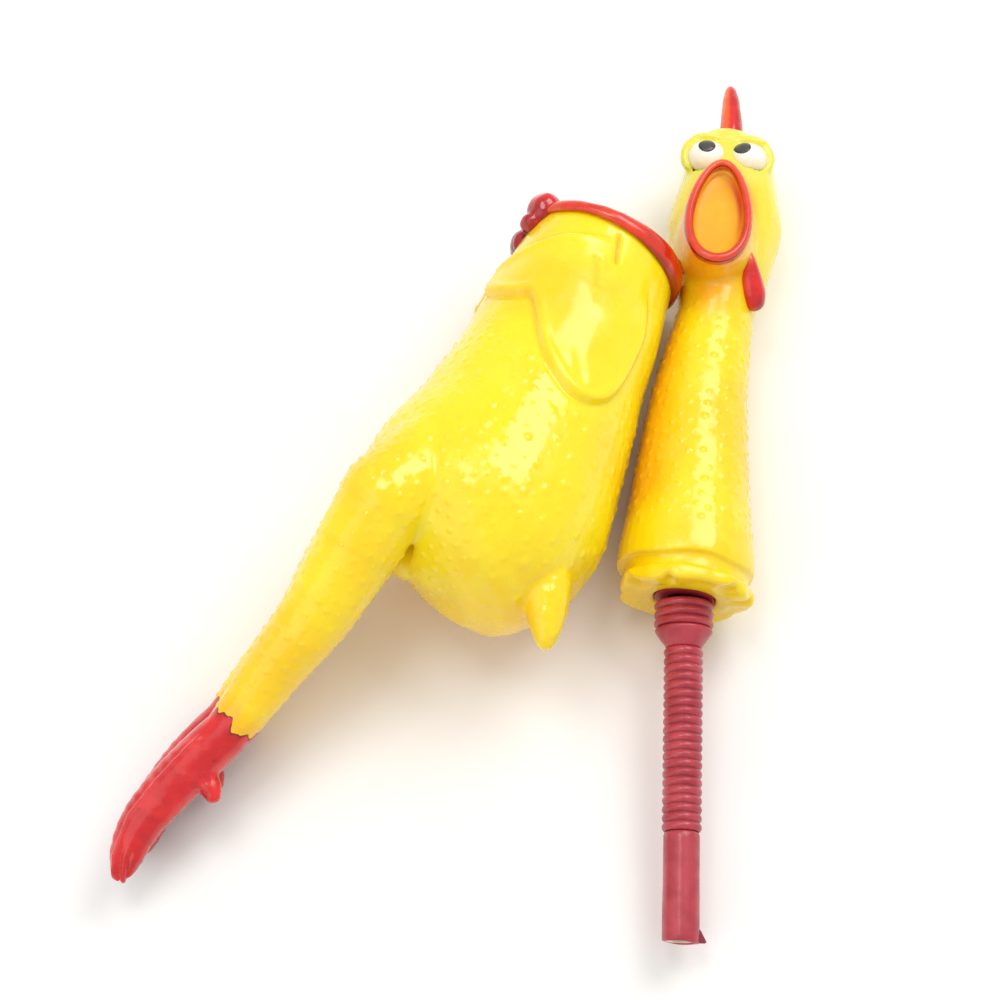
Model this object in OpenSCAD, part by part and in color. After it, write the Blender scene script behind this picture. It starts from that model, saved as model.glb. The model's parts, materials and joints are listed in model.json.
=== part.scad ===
// Rubber chicken that screams when squeezed, lying unplugged in its two halves.
// The body half lies on its right side. The neck half lies on its back beside it,
// with the squeaker tube that hides inside the body when the neck is plugged in.
// Millimetres, +Z up, z = 0 is the table.

/* [Body half] */
// Length of the body from its mouth to the end of the belly
body_l = 123; // [120:1:128]
// Outer radius of the body at its mouth
mouth_r = 22.2; // [21.8:0.2:23]
// Half depth of the belly, from breast to back
belly_depth = 37; // [35:0.5:39]
// Half width of the belly, from side to side
belly_width = 32; // [30:0.5:33]
// Wall of the soft vinyl
wall = 2.5; // [2:0.1:3]

/* [Collar and socket] */
// Radius of the hole that the neck snaps into
socket_r = 18.2; // [17.8:0.1:18.6]
// Length of the snap ring around that hole
socket_l = 3.6; // [3:0.1:4]
// Width of the red collar along the body
collar_w = 5.6; // [4:0.2:7]
// How far the collar stands out of the body
collar_h = 1.8; // [1.5:0.1:2.2]
// Half length of one lobe of the bow
bow_l = 5.4; // [4.6:0.2:6]

/* [Legs] */
// Radius of the round top of each leg, where it flexes
hip_r = 12.2; // [11.5:0.1:12.6]
// Distance between the middles of the two hips
hip_gap = 27.2; // [26.6:0.2:28]
// Radius of the leg at the ankle
ankle_r = 6.9; // [6:0.1:7.5]
// Running gap around the round top of each leg
hip_clear = 0.4; // [0.3:0.1:0.6]

/* [Neck half] */
// Radius of the lip on the plug
plug_r = 19; // [18.6:0.1:19.3]
// Radius of the groove behind the lip
groove_r = 17.8; // [17.4:0.1:18.1]
// Radius of the shoulder that closes the body's mouth
shoulder_r = 19.7; // [19.5:0.1:20]
// Length of the neck and head from the plug's face
neck_l = 153; // [150:1:158]
// Half width of the head across the cheeks
cheek_r = 17.2; // [16.5:0.1:18]
// Radius of each eyeball
eye_r = 5.8; // [5.4:0.1:6]

/* [Squeaker tube] */
// Crest radius of the wide bellows
wide_r = 8.5; // [8:0.1:9]
// Crest radius of the narrow bellows
narrow_r = 5.6; // [5.4:0.1:6]
// Radius of the plain sleeve
sleeve_r = 5.1; // [4.9:0.1:5.3]
// Length of the wide bellows
wide_l = 8.4; // [7.5:0.3:9.9]
// Length of the narrow bellows
narrow_l = 52.5; // [45:2.5:60]
// Length of the plain sleeve
sleeve_l = 30.5; // [28:0.5:36]

/* [How the halves lie] */
// Heading of the body, measured from +Y
body_yaw = 24; // [22:1:26]
// How far the breast is rolled up from the table
body_roll = 12; // [8:1:16]
// How far the belly lifts the body's back end
body_pitch = 5; // [4:0.5:6]
// Heading of the neck, measured from +Y
neck_yaw = 6.8; // [6:0.2:8]
// How far the tube dips towards the table
tube_dip = 4.5; // [3:0.5:5]

/* [Hidden] */
$fn = 64;

vinyl = "yellow";
paint = "crimson";
tube_red = "indianred";

// where the halves lie: the middle of the body's mouth and of the plug's face
mouth_at = [43.23, 71.32, 25.96];
plug_at = [63.83, -37.18, 19.8];

// table frame of the body: x towards its back, y out of its mouth, z up
module body_place() translate([mouth_at[0], mouth_at[1], 0]) rotate([0, 0, -body_yaw]) children();

// the body's own frame: x towards the back, y out of the mouth, z towards its left side
module body_frame() {
    body_place()
        translate([0, 0, mouth_at[2]])
            rotate([-body_pitch, 0, 0])
                rotate([0, body_roll, 0])
                    children();
}

// a point of the body's own frame, carried into its table frame
function rolled(p) = [p[0]*cos(body_roll) + p[2]*sin(body_roll), p[1],
    p[2]*cos(body_roll) - p[0]*sin(body_roll)];
function pitched(p) = [p[0], p[1]*cos(body_pitch) + p[2]*sin(body_pitch),
    p[2]*cos(body_pitch) - p[1]*sin(body_pitch)];
function laid(p) = pitched(rolled(p)) + [0, 0, mouth_at[2]];

// the neck's own frame: y from the plug to the comb, z out of the face
module neck_frame() translate(plug_at) rotate([0, 0, -neck_yaw]) children();

// the tube's own frame: z along the tube, from the plug's face to the reed
tube_at = plug_at + [0, 0, -0.5];
module tube_frame() translate(tube_at) rotate([90 + tube_dip, 0, -1.8]) children();

// ---- smooth skins through rings ----

// value on a smooth curve through four rows, t from b to c
function curve(a, b, c, d, t) =
    b + 0.5*t*(c - a + t*(2*a - 5*b + 4*c - d + t*(3*(b - c) + d - a)));
function row(keys, i) = keys[max(0, min(len(keys) - 1, i))];
function along(keys, u) =
    let (i = floor(u))
    curve(row(keys, i - 1), row(keys, i), row(keys, i + 1), row(keys, i + 2), u - i);
function place(s) = [s[0], s[1], s[2]];
function unit(v) = v/norm(v);

// ring square to direction d, with half sizes a (level) and b (upright)
function ring(c, d, a, b, sides) =
    let (level = unit(cross([0, 0, 1], d)), upright = cross(d, level))
    [for (j = [0:sides - 1])
        c + a*cos(360*j/sides)*level + b*sin(360*j/sides)*upright];

// rings through keys of [x, y, z, half width, half height]
function rings(keys, steps, sides) =
    [for (i = [0:steps*(len(keys) - 1)])
        let (u = i/steps, s = along(keys, u))
        ring(place(s), unit(place(along(keys, u + 0.02)) - place(along(keys, u - 0.02))),
            s[3], s[4], sides)];

// closed solid over a list of rings
module skin(r) {
    sides = len(r[0]);
    last = len(r) - 1;
    faces = concat(
        [[for (j = [0:sides - 1]) j]],
        [[for (j = [sides - 1:-1:0]) last*sides + j]],
        [for (i = [0:last - 1], j = [0:sides - 1])
            let (k = (j + 1)%sides)
            each [[i*sides + j, (i + 1)*sides + j, (i + 1)*sides + k],
                  [i*sides + j, (i + 1)*sides + k, i*sides + k]]]);
    polyhedron([for (q = r) each q], faces);
}

// keys pulled in by a wall, w, all round
function thinner(keys, w) =
    [for (k = keys) [k[0], k[1], k[2], max(0.5, k[3] - w), max(0.5, k[4] - w)]];

// ---- body ----

// keys from the mouth to the end of the belly
l = body_l;
body_keys = [
    [0, 0, 0, mouth_r, mouth_r],
    [0, -0.118*l, 0, mouth_r + 2.4, mouth_r + 1.6],
    [0.7, -0.236*l, 0, 0.72*belly_depth, 0.81*belly_width],
    [1.2, -0.354*l, 0, 0.755*belly_depth, 0.84*belly_width],
    [1.8, -0.472*l, 0, 0.82*belly_depth, 0.89*belly_width],
    [2.1, -0.59*l, 0, 0.89*belly_depth, 0.95*belly_width],
    [1.4, -0.709*l, 0, 0.975*belly_depth, belly_width],
    [1, -0.819*l, 0, 0.955*belly_depth, 0.98*belly_width],
    [-0.8, -0.898*l, 0, 0.82*belly_depth, 0.85*belly_width],
    [-3.2, -0.953*l, 0, 0.62*belly_depth, 0.64*belly_width],
    [-4.6, -0.984*l, 0, 0.36*belly_depth, 0.36*belly_width],
    [-5, -l, 0, 2, 2]];
cavity_keys = [for (k = thinner(body_keys, wall))
    [k[0], k[1]*(1 - (wall + 1.5)/l), k[2], k[3], k[4]]];
cavity_from = 7;
lead_in = 0.4;
throat_sides = 96;
ring_r = (mouth_r - wall)*cos(180/throat_sides);

// middle of a hip in the body's own frame; side is 1 for left, -1 for right
function hip(side) = [-24.4, -0.9*l, side*hip_gap/2];

module body_loft(grow) skin(rings(thinner(body_keys, -grow), 3, 40));

module thigh(side) {
    hull() {
        translate(hip(side)) sphere(hip_r + 1.2, $fn = 32);
        translate([-15, -0.7*l, side*12]) sphere(0.42*belly_width, $fn = 32);
    }
}

// room for the round top of a leg and for the swing of its shaft
leg_lean = 28;
module leg_room(side, grow) {
    translate(hip(side)) hull() {
        sphere(hip_r + hip_clear + grow, $fn = 40);
        rotate([90 + leg_lean, 0, 0])
            cylinder(r1 = hip_r + hip_clear + grow, r2 = hip_r + hip_clear + 2.5 + grow, h = 24,
                $fn = 40);
    }
}

module tail() {
    skin(rings([[22, -0.83*l, 11, 8, 7.6], [26.5, -0.91*l, 12, 7, 7], [29.4, -0.96*l, 11.8, 5.9, 6],
        [31.8, -1.005*l, 11.4, 4.2, 4.4], [33.2, -1.035*l, 11, 2.2, 2.3],
        [33.6, -1.043*l, 10.9, 0.7, 0.7]], 2, 20));
}

module body_cavity() {
    difference() {
        skin(rings(cavity_keys, 3, 40));
        translate([-50, -cavity_from, -50]) cube([100, 20, 100]);
    }
    hull() rotate([90, 0, 0]) translate([0, 0, -1])
        cylinder(r = mouth_r - wall, h = cavity_from + 1.2, $fn = throat_sides);
}

// the soft hollow body, moulded in one with its thighs and tail
module body_shell() {
    color(vinyl) body_frame() difference() {
        union() {
            body_loft(0);
            thigh(1);
            thigh(-1);
            tail();
        }
        leg_room(1, 0);
        leg_room(-1, 0);
        difference() {
            body_cavity();
            leg_room(1, wall);
            leg_room(-1, wall);
        }
    }
}

// thick ring just inside the mouth, which the neck's groove snaps over
module socket_ring() {
    color(vinyl) body_frame() rotate([90, 0, 0]) rotate_extrude()
        polygon([[socket_r, lead_in], [socket_r + lead_in, 0], [ring_r, 0], [ring_r, cavity_from],
            [ring_r - 0.6, cavity_from], [socket_r, lead_in + socket_l]]);
}

// raised band painted red around the mouth
module collar_band() {
    color(paint) body_frame() rotate([90, 0, 0]) rotate_extrude()
        polygon(concat([[mouth_r + 0.95, collar_w - 0.6], [mouth_r + 0.25, -0.6]],
            [for (a = [0:15:180])
                [mouth_r + 0.4 + collar_h*sin(a) + 0.3*(1 - cos(a)),
                    collar_w*(1 - cos(a))/2 - 0.6]]));
}

// the bow sits on the breast side of the collar, a little askew
bow_mid = [-mouth_r - 1.8, -1.8, -2.4];
bow_step = [0.2, 2.1, 7.6];
module lobe(side) {
    translate(bow_mid + side*bow_step) rotate_extrude($fn = 32)
        polygon([for (a = [-90:15:90])
            [0.9*bow_l*cos(a)*(1 + 0.25*sin(a)*side), bow_l*sin(a)]]);
}
module knot() translate(bow_mid - [1, 0, 0]) hull() sphere(3.5, $fn = 28);

// the bow lies on the collar and leaves the way into the mouth free
module clear_of_body() {
    rotate([90, 0, 0]) translate([0, 0, -20]) cylinder(r = mouth_r + collar_h + 1, h = 50);
}

// middle of the bow tie
module bow_knot() {
    color(paint) body_frame() difference() {
        knot();
        clear_of_body();
    }
}
module bow_lobe(side) {
    color(paint) body_frame() difference() {
        lobe(side);
        knot();
        clear_of_body();
    }
}
module bow_left_lobe() bow_lobe(1);
module bow_right_lobe() bow_lobe(-1);

// outline of a wing seen from the side: a forearm over the breast and a hand that points back
wing_keys = [[0, -9], [-14, -14], [-25, -24], [-27.5, -31], [-25, -36], [-19, -38], [-14, -37.5],
    [-9, -47], [-4, -55], [2.5, -60.5], [8, -63], [13.5, -62], [18, -57], [19.6, -49], [20, -41],
    [19.5, -32], [17, -22], [11, -12]];
function round_trip(keys, u) =
    let (n = len(keys), i = floor(u), t = u - i)
    curve(keys[(i + n - 1)%n], keys[i%n], keys[(i + 1)%n], keys[(i + 2)%n], t);
module wing(side) {
    color(vinyl) body_frame() mirror([0, 0, side > 0 ? 0 : 1]) difference() {
        intersection() {
            body_loft(2);
            translate([0, 0, 3]) linear_extrude(60)
                polygon([for (u = [0:0.5:len(wing_keys) - 0.5]) round_trip(wing_keys, u)]);
        }
        body_loft(0);
    }
}
module left_wing() wing(1);
module right_wing() wing(-1);

// ---- legs ----

// keys in the body's table frame: hip, calf and ankle, then the foot
left_hip = laid(hip(1));
right_hip = laid(hip(-1));
left_ankle = [-37, -180, 27];
right_ankle = [-42.5, -173, 8.5];
left_leg_keys = [
    [left_hip[0], left_hip[1], left_hip[2], hip_r - 0.6, hip_r - 0.6],
    [-25.5, -140, 44.5, 10.6, 10],
    [-32.5, -162, 33, 8.2, 8],
    [left_ankle[0], left_ankle[1], left_ankle[2], ankle_r, ankle_r]];
right_leg_keys = [
    [right_hip[0], right_hip[1], right_hip[2], hip_r - 0.6, hip_r - 0.6],
    [-32, -135, 18, 10, 9.6],
    [-38, -155, 12.5, 8, 8],
    [right_ankle[0], right_ankle[1], right_ankle[2], ankle_r, ankle_r]];
left_foot_path = [left_ankle, [-42, -191, 24.5], [-46.4, -203, 22], [-49.2, -213, 19.5],
    [-49, -223, 17], [-47, -229, 16]];
right_foot_path = [right_ankle, [-46.5, -184, 8], [-49.5, -196, 7.4], [-51, -207, 6.6],
    [-50, -214, 6], [-48.5, -219, 5.8]];
foot_wide = [ankle_r, 7.1, 6.9, 6.1, 4.6, 1.5];
foot_high = [ankle_r, 6.4, 5.8, 5, 3.6, 1.2];
function foot_keys(path) =
    [for (i = [0:len(path) - 1]) concat(path[i], [foot_wide[i], foot_high[i]])];

module leg(keys, top) {
    body_place() {
        skin(rings(keys, 5, 32));
        translate(top) sphere(hip_r);
    }
}

// a foot with its back toe
module foot(path, leg_keys) {
    body_place() difference() {
        foot_skin(path);
        skin(rings(leg_keys, 5, 32));
    }
}
module foot_skin(path) {
    union() {
        skin(rings(foot_keys(path), 4, 24));
        translate(path[1] + [5, -4, 0]) rotate([0, 0, -35]) skin(rings([[-2, 0, 0, 4, 3.4],
            [3, 0, 0, 3.2, 2.8], [6, -1, 0, 2, 1.8], [7, -1.4, 0, 0.6, 0.6]], 2, 16));
    }
}

module left_leg() color(vinyl) leg(left_leg_keys, left_hip);
module right_leg() color(vinyl) leg(right_leg_keys, right_hip);
module left_foot() color(paint) foot(left_foot_path, left_leg_keys);
module right_foot() color(paint) foot(right_foot_path, right_leg_keys);

// ---- neck and head ----

// keys from the shoulder to the crown
neck_from = 8;
neck_keys = [
    [-0.6, neck_from, 0, shoulder_r, shoulder_r],
    [-0.6, 14, 0, shoulder_r - 0.1, shoulder_r - 0.1],
    [-1.2, 31, 0, 17.3, 17.3],
    [-1.3, 63, -0.8, 14.3, 14.2],
    [1, 0.6*neck_l, -1.6, 11.5, 12.2],
    [1.7, 0.7*neck_l, -2.3, 14.6, 14.6],
    [1.4, 0.79*neck_l, -2.4, cheek_r, 16.3],
    [1.1, 0.89*neck_l, -2.6, 14.4, 15.6],
    [0.8, 0.95*neck_l, -1.6, 12.5, 13],
    [0.5, 0.985*neck_l, -1, 8, 8.5],
    [0.5, neck_l, -1, 2, 2]];
neck_room_keys = [for (k = thinner(neck_keys, wall)) if (k[1] < 0.75*neck_l)
    [k[0], max(k[1], neck_from + wall), k[2], k[3], k[4]]];
mouth_mid = [-1.2, 0.755*neck_l, 20.3];
beak_half = [9.6, 18.3];
eye_mid = [[5.7, 0.915*neck_l, 6], [-6.2, 0.915*neck_l, 6]];
pupil_mid = [[3.6, 0.925*neck_l, 6], [-6.9, 0.92*neck_l, 6]];

// egg outline of the beak: broad at the chin, narrow at the brow
function egg(a, h, w) = [w*cos(a)*(1 - 0.2*sin(a)) , h*sin(a)];
function egg_ring(z, h, w, shift) =
    [for (j = [0:35])
        let (e = egg(10*j, h, w))
        mouth_mid + [e[0], e[1] + shift, z]];

module beak_cone() {
    skin([egg_ring(-24, beak_half[1] + 1, beak_half[0] + 4, 0),
        egg_ring(-10, beak_half[1] + 1, beak_half[0] + 2, 0),
        egg_ring(-2.4, beak_half[1], beak_half[0], 0)]);
}
module mouth_bowl(grow) {
    skin([egg_ring(-15 - grow, 7 + grow, 3.6 + grow, -2),
        egg_ring(-10, 12.5 + grow, 5.6 + grow, -1),
        egg_ring(-4, beak_half[1] - 3.8 + grow, beak_half[0] - 2.8 + grow, 0),
        egg_ring(1.6, beak_half[1] - 2.4 + grow, beak_half[0] - 1.7 + grow, 0)]);
}

// closed round bar that follows the egg outline
module beak_bar(r) {
    n = 36;
    m = 12;
    points = [for (j = [0:n - 1], i = [0:m - 1])
        let (a = 360*j/n, b = 360*i/m, e = egg(a, beak_half[1] - 1.6, beak_half[0] - 1.6),
            f = egg(a, beak_half[1] - 0.6, beak_half[0] - 0.6), d = unit(f - e))
        mouth_mid + [e[0] + r*cos(b)*d[0], e[1] + r*cos(b)*d[1], r*sin(b) - 0.4]];
    faces = [for (j = [0:n - 1], i = [0:m - 1])
        let (k = (j + 1)%n, q = (i + 1)%m)
        each [[j*m + i, k*m + q, k*m + i], [j*m + i, j*m + q, k*m + q]]];
    polyhedron(points, faces);
}

// the soft hollow neck and head with its beak, moulded in one
module neck_shell() {
    color(vinyl) neck_frame() difference() {
        union() {
            skin(rings(neck_keys, 3, 36));
            beak_cone();
        }
        skin(rings(neck_room_keys, 3, 36));
        translate([0, neck_from - 1, 0]) rotate([-90, 0, 0]) cylinder(r = 15, h = 12);
        mouth_bowl(0.8);
        translate(mouth_mid + [0, -2, -24]) cylinder(r = 2, h = 10);
        for (i = [0, 1]) translate(eye_mid[i]) sphere(eye_r);
    }
}

// plug that snaps into the body: lip, groove and the floor that holds the tube
floor_l = 3;
module plug_rim() {
    color(vinyl) neck_frame() rotate([-90, 0, 0]) rotate_extrude()
        polygon([[wide_r + 0.3, 0], [plug_r - 0.6, 0], [plug_r, 0.6], [plug_r, 3.6],
            [plug_r - 0.4, 4], [groove_r, 4], [groove_r, neck_from], [15, neck_from],
            [15, floor_l], [wide_r + 0.3, floor_l]]);
}

// fin on the crown, in the plane of the face, with three round points
module comb() {
    color(paint) neck_frame() difference() {
        translate([-1.7, 0, 0]) rotate([90, 0, 90]) linear_extrude(4) offset(r = 1.5)
            offset(r = -1.5) polygon([[0.93*neck_l, -12], [0.98*neck_l, -17], [1.03*neck_l, -16],
                [1.05*neck_l, -12.4], [1.1*neck_l, -13], [1.135*neck_l, -9], [1.1*neck_l, -5],
                [1.06*neck_l, -4.6], [1.08*neck_l, 0], [1.03*neck_l, 3], [0.98*neck_l, 3]]);
        skin(rings(neck_keys, 3, 36));
    }
}

// red lips of the open beak
module beak_rim() color(paint) neck_frame() difference() {
    beak_bar(1.9);
    mouth_bowl(0);
}

// amber bowl of the open mouth
module mouth_lining() {
    color("orange") neck_frame() difference() {
        mouth_bowl(0.8);
        mouth_bowl(0);
        beak_bar(1.9);
        translate(mouth_mid + [-20, -30, -0.4]) cube([40, 60, 5]);
        translate(mouth_mid + [0, -2, -24]) cylinder(r = 2, h = 12);
    }
}

pupil_r = 2.1;
module pupil_bar(i) translate(pupil_mid[i]) cylinder(r = pupil_r, h = 30);
module eye(i) {
    color("white") neck_frame() difference() {
        translate(eye_mid[i]) sphere(eye_r);
        if (i == 1) translate(eye_mid[0]) sphere(eye_r);
        pupil(i);
        beak_cone();
        beak_bar(1.9);
        mouth_bowl(0.8);
    }
}
module pupil(i) {
    intersection() {
        pupil_bar(i);
        difference() {
            translate(eye_mid[i]) sphere(eye_r);
            translate(eye_mid[i]) sphere(eye_r - 0.7);
        }
    }
}
module left_eye() eye(0);
module right_eye() eye(1);
module left_pupil() color("black") neck_frame() pupil(0);
module right_pupil() color("black") neck_frame() pupil(1);

// soft drop of skin beside the chin
module wattle(x, lift) {
    color(paint) neck_frame() difference() {
        translate([x, 0, lift]) skin(rings([[0, 0.72*neck_l, 1.6, 0.8, 0.6],
            [0, 0.68*neck_l, 1, 2.6, 1.9], [0, 0.63*neck_l, 0.4, 3.2, 2.2],
            [0, 0.602*neck_l, 0, 1.8, 1.4], [0, 0.596*neck_l, 0, 0.5, 0.5]], 3, 20));
        skin(rings(neck_keys, 3, 36));
        beak_cone();
    }
}
module left_wattle() wattle(13, 4);
module right_wattle() wattle(-7, 8.6);

// ---- squeaker tube ----

tube_wall = 0.9;
funnel_l = 5.8;
pitch_wide = 2.8;
pitch_narrow = 2.5;
wide_rings = round(wide_l/pitch_wide);
narrow_rings = round(narrow_l/pitch_narrow);
funnel_from = wide_l;
narrow_from = funnel_from + funnel_l;
sleeve_from = narrow_from + narrow_rings*pitch_narrow;
tube_l = sleeve_from + sleeve_l;

// row of round bellows rings, with a smooth bore
module bellows(from, count, pitch, crest, depth) {
    rotate_extrude() polygon(concat(
        [[crest - depth - tube_wall, from + count*pitch], [crest - depth - tube_wall, from]],
        [for (i = [0:count*6])
            [crest - depth + depth*sin(180*(i%6)/6), from + i*pitch/6]]));
}

// flange that stops the tube from falling out of the plug
module tube_flange() {
    color(tube_red) neck_frame() rotate([-90, 0, 0]) rotate_extrude()
        polygon([[5, 0.2], [wide_r + 0.1, 0.2], [wide_r + 0.1, floor_l], [11.5, floor_l],
            [11.5, floor_l + 2], [5, floor_l + 2]]);
}
module wide_bellows() {
    color(tube_red) tube_frame() bellows(0.6, wide_rings, pitch_wide - 0.2, wide_r, 1.3);
}
module funnel() {
    color(tube_red) tube_frame() rotate_extrude()
        polygon([[wide_r - 1.3 - tube_wall, funnel_from], [wide_r - 0.6, funnel_from],
            [wide_r - 0.3, funnel_from + 0.8], [narrow_r - 0.5, narrow_from - 0.8],
            [narrow_r - 0.6, narrow_from], [narrow_r - 0.8 - tube_wall, narrow_from]]);
}
module narrow_bellows() {
    color(tube_red) tube_frame()
        bellows(narrow_from, narrow_rings, pitch_narrow, narrow_r, 0.8);
}
module reed_sleeve() {
    color(tube_red) tube_frame() {
        rotate_extrude() polygon([[sleeve_r - tube_wall, sleeve_from], [sleeve_r - 0.3, sleeve_from],
            [sleeve_r, sleeve_from + 1], [sleeve_r, tube_l], [sleeve_r - tube_wall, tube_l]]);
        translate([sleeve_r - 0.1, 0.4, tube_l - 4]) rotate([90, 0, 0]) linear_extrude(0.8)
            polygon([[0, 0], [2, 4], [0, 4]]);
    }
}

reed_l = 14;
reed_r = sleeve_r - tube_wall;
reed_from = tube_l - reed_l - 0.4;
slot_h = 1;
// pale plug in the end of the sleeve: a ring that carries a half-round tongue bed
module reed_plug() {
    color("ivory") tube_frame() difference() {
        translate([0, 0, reed_from]) cylinder(r = reed_r, h = reed_l);
        translate([-reed_r, -slot_h/2, reed_from - 1]) cube([2*reed_r, reed_r + slot_h, reed_l - 4]);
        translate([0, -1.6, reed_from - 1]) cylinder(r = 1.4, h = reed_l + 2);
        translate([0, 0, tube_l - 3.4]) cylinder(r = 2.6, h = 4);
        translate([-1.5, -slot_h/2, reed_from - 1]) cube([3, slot_h, reed_l + 2]);
    }
}
// wedge that pinches the root of the tongue
module reed_wedge() {
    color("ivory") tube_frame() translate([-1.4, 0.02, tube_l - 5.2]) cube([2.8, 0.46, 1.6]);
}
// thin strip that buzzes
module reed_tongue() {
    color("gainsboro") tube_frame() translate([-1.3, -0.4, reed_from + 0.5])
        cube([2.6, 0.3, reed_l - 5.6]);
}

body_shell();
socket_ring();
collar_band();
bow_knot();
bow_left_lobe();
bow_right_lobe();
left_wing();
right_wing();
left_leg();
left_foot();
right_leg();
right_foot();
neck_shell();
plug_rim();
comb();
beak_rim();
mouth_lining();
left_eye();
right_eye();
left_pupil();
right_pupil();
left_wattle();
right_wattle();
tube_flange();
wide_bellows();
funnel();
narrow_bellows();
reed_sleeve();
reed_plug();
reed_wedge();
reed_tongue();
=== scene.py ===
import json
import math

import bpy
import numpy as np
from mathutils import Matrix, Vector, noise
from mathutils.kdtree import KDTree


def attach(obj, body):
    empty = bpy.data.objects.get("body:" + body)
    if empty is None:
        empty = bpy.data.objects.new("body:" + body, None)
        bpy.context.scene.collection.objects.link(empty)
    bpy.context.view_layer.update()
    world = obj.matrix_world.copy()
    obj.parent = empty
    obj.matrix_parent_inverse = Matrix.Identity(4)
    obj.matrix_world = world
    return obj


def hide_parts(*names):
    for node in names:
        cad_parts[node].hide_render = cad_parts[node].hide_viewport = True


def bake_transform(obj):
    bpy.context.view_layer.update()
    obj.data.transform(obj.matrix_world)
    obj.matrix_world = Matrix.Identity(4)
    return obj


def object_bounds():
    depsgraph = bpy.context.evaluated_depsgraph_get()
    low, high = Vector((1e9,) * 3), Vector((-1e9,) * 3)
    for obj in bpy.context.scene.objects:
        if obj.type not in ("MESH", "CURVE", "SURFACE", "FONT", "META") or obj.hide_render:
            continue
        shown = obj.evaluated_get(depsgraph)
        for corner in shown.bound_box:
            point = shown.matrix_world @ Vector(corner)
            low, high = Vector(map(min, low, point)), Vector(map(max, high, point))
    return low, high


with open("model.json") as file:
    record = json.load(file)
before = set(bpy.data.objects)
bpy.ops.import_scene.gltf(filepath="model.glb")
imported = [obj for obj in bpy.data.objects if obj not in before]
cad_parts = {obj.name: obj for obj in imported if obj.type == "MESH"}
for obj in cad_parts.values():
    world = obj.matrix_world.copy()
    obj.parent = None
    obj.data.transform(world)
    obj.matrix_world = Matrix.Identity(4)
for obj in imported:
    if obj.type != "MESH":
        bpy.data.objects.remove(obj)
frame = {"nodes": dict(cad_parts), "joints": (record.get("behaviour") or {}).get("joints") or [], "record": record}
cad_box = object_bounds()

MM = 0.001
record = frame["record"]

BODY_GRAIN = 0.62
HEAD_GRAIN = 0.55
BAND_GRAIN = 0.42
COMB_GRAIN = 0.4
WATTLE_GRAIN = 0.38

mounts = {m["name"]: m for m in record["mounts"]}
joints = {j["name"]: j for j in frame["joints"]}


def turn(axis, deg):
    c, s = math.cos(math.radians(deg)), math.sin(math.radians(deg))
    return {
        "x": np.array([[1, 0, 0], [0, c, -s], [0, s, c]]),
        "y": np.array([[c, 0, s], [0, 1, 0], [-s, 0, c]]),
        "z": np.array([[c, -s, 0], [s, c, 0], [0, 0, 1]]),
    }[axis]


class Place:
    """A local frame in millimetres: where it is and how it is turned."""

    def __init__(self, at, turned):
        self.at, self.turned = np.array(at, float), turned

    def out(self, p):
        return np.asarray(p, float) @ self.turned.T + self.at

    def into(self, p):
        return (np.asarray(p, float) - self.at) @ self.turned

    def way(self, d):
        return np.asarray(d, float) @ self.turned


socket = mounts["neck_socket"]
plug = mounts["neck_plug"]
SOCKET_DEPTH, PLUG_DEPTH = 2.2, 2.1  # millimetres from each mount's middle to where its own frame starts
mouth_at = np.array(socket["pos_m"]) / MM + SOCKET_DEPTH * np.array(socket["axis"])
plug_at = np.array(plug["pos_m"]) / MM + PLUG_DEPTH * np.array(plug["axis"])
BODY_YAW, BODY_PITCH, BODY_ROLL, NECK_YAW, TUBE_YAW, TUBE_DIP = 24, 5, 12, 6.8, 1.8, 4.5
BODY = Place(mouth_at, turn("z", -BODY_YAW) @ turn("x", -BODY_PITCH) @ turn("y", BODY_ROLL))
TABLE = Place([mouth_at[0], mouth_at[1], 0], turn("z", -BODY_YAW))
NECK = Place(plug_at, turn("z", -NECK_YAW))
TUBE = Place(plug_at + [0, 0, -0.5], turn("z", -TUBE_YAW) @ turn("x", 90 + TUBE_DIP))


# ---- numbers to meshes and back ----


def smoothstep(a, b, x):
    t = np.clip((np.asarray(x, float) - a) / (b - a), 0, 1)
    return t * t * (3 - 2 * t)


def object_from(name, verts, faces, smooth=True):
    """A new object from millimetre points and a list or array of faces."""
    me = bpy.data.meshes.new(name)
    me.from_pydata((np.asarray(verts) * MM).tolist(), [], [tuple(map(int, f)) for f in faces])
    me.validate()
    o = bpy.data.objects.new(name, me)
    bpy.context.collection.objects.link(o)
    if smooth:
        me.polygons.foreach_set("use_smooth", [True] * len(me.polygons))
    return o


def points_of(me):
    v = np.empty(len(me.vertices) * 3)
    me.vertices.foreach_get("co", v)
    return v.reshape(-1, 3) / MM


def faces_of(me):
    return [tuple(p.vertices) for p in me.polygons]


def cad(*nodes):
    """The points and faces of CAD nodes, joined."""
    verts, faces, n = [], [], 0
    for name in nodes:
        me = frame["nodes"][name].data
        v = points_of(me)
        verts.append(v)
        faces += [tuple(i + n for i in f) for f in faces_of(me)]
        n += len(v)
    return np.concatenate(verts), faces


def ball(c, r, rows=14, sides=24):
    """A closed ball or ellipsoid; r is one radius or three."""
    r = np.array([r] * 3 if np.isscalar(r) else r, float)
    v = [[0, 0, 1]]
    for i in range(1, rows):
        a = math.pi * i / rows
        v += [[math.sin(a) * math.cos(b), math.sin(a) * math.sin(b), math.cos(a)]
              for b in np.linspace(0, 2 * math.pi, sides, endpoint=False)]
    v.append([0, 0, -1])
    f = []
    for j in range(sides):
        k = (j + 1) % sides
        f.append((0, 1 + j, 1 + k))
        last = 1 + (rows - 2) * sides
        f.append((last + j, len(v) - 1, last + k))
        for i in range(rows - 2):
            a = 1 + i * sides
            f.append((a + j, a + sides + j, a + sides + k, a + k))
    return np.array(v) * r + np.array(c, float), f


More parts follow.
